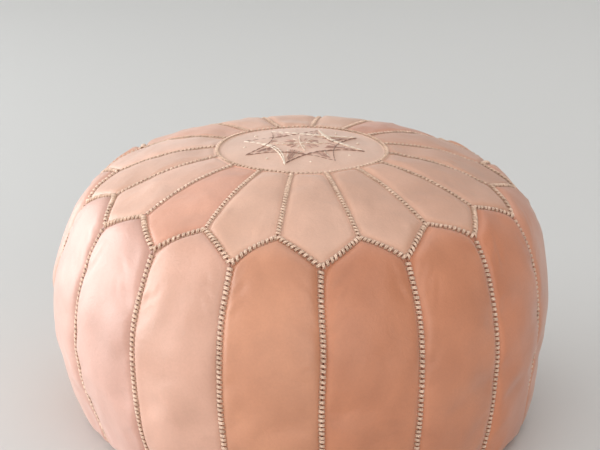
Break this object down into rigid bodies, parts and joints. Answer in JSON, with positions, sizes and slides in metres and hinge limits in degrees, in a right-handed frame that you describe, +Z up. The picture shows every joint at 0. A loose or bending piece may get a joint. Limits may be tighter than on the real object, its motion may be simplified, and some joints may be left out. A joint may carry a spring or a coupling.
{
  "type": "moroccan leather pouf",
  "caption": "Round stuffed leather floor seat: pale medallion with a stitched star, a ring of petals, tall swelling side panels, over-stitched seams and a zipped base.",
  "frame": {"origin": "on the floor under the middle of the pouf", "axes": "+Z up the axis of the pouf; the zip runs along X and its slider is at the +X end; a petal tip and a side seam stand at -Y"},
  "size_m": [0.5462, 0.5462, 0.3152],
  "materials": {
    "pale_leather": "soft undyed leather, pale pink-beige",
    "petal_leather": "soft vegetable-tanned leather, light tan",
    "side_leather": "soft vegetable-tanned leather, golden tan",
    "base_leather": "plain tan leather",
    "cream_thread": "twisted cream thread",
    "cotton_wadding": "white cotton wadding",
    "cotton_cloth": "unbleached plain-weave cotton",
    "cotton_cord": "twisted cotton cord",
    "zip_cloth": "brown woven zip tape",
    "zip_brass": "satin brass"
  },
  "bodies": {
    "cover": {"medallion": "pale_leather", "petal_01": "petal_leather", "petal_02": "petal_leather", "petal_03": "petal_leather", "petal_04": "petal_leather", "petal_05": "petal_leather", "petal_06": "petal_leather", "petal_07": "petal_leather", "petal_08": "petal_leather", "petal_09": "petal_leather", "petal_10": "petal_leather", "petal_11": "petal_leather", "petal_12": "petal_leather", "petal_13": "petal_leather", "petal_14": "petal_leather", "petal_15": "petal_leather", "petal_16": "petal_leather", "side_panel_01": "side_leather", "side_panel_02": "side_leather", "side_panel_03": "side_leather", "side_panel_04": "side_leather", "side_panel_05": "side_leather", "side_panel_06": "side_leather", "side_panel_07": "side_leather", "side_panel_08": "side_leather", "side_panel_09": "side_leather", "side_panel_10": "side_leather", "side_panel_11": "side_leather", "side_panel_12": "side_leather", "side_panel_13": "side_leather", "side_panel_14": "side_leather", "side_panel_15": "side_leather", "side_panel_16": "side_leather", "base_half_front": "base_leather", "base_half_back": "base_leather", "medallion_cord": "petal_leather", "petal_seam_cords": "petal_leather", "zigzag_seam_cords": "petal_leather", "side_seam_cords": "side_leather", "base_cord": "base_leather", "medallion_stitching": "cream_thread", "petal_stitching": "cream_thread", "zigzag_stitching": "cream_thread", "side_stitching": "cream_thread", "base_stitching": "cream_thread", "star_embroidery": "cream_thread", "filling": "cotton_wadding", "lining_bag": "cotton_cloth", "bag_drawstring": "cotton_cord", "zip_stitching": "cream_thread", "closing_stitching": "cream_thread", "zip_tape_front": "zip_cloth", "zip_tape_back": "zip_cloth", "zip_teeth_front": "zip_brass", "zip_teeth_back": "zip_brass", "zip_top_stops": "zip_brass", "zip_bottom_stop": "zip_brass"},
    "slider": {"zip_slider": "zip_brass"},
    "pull_tab": {"zip_pull_tab": "zip_brass"}
  },
  "joints": [
    {"name": "zip_slide", "type": "slide", "parent": "cover", "child": "slider", "axis": [-1, 0, 0], "range_m": [0, 0.226]},
    {"name": "pull_tab_hinge", "type": "hinge", "parent": "slider", "child": "pull_tab", "pos_m": [0.1135, 0, 0.0065], "axis": [0, -1, 0], "range_deg": [0, 170]}
  ]
}
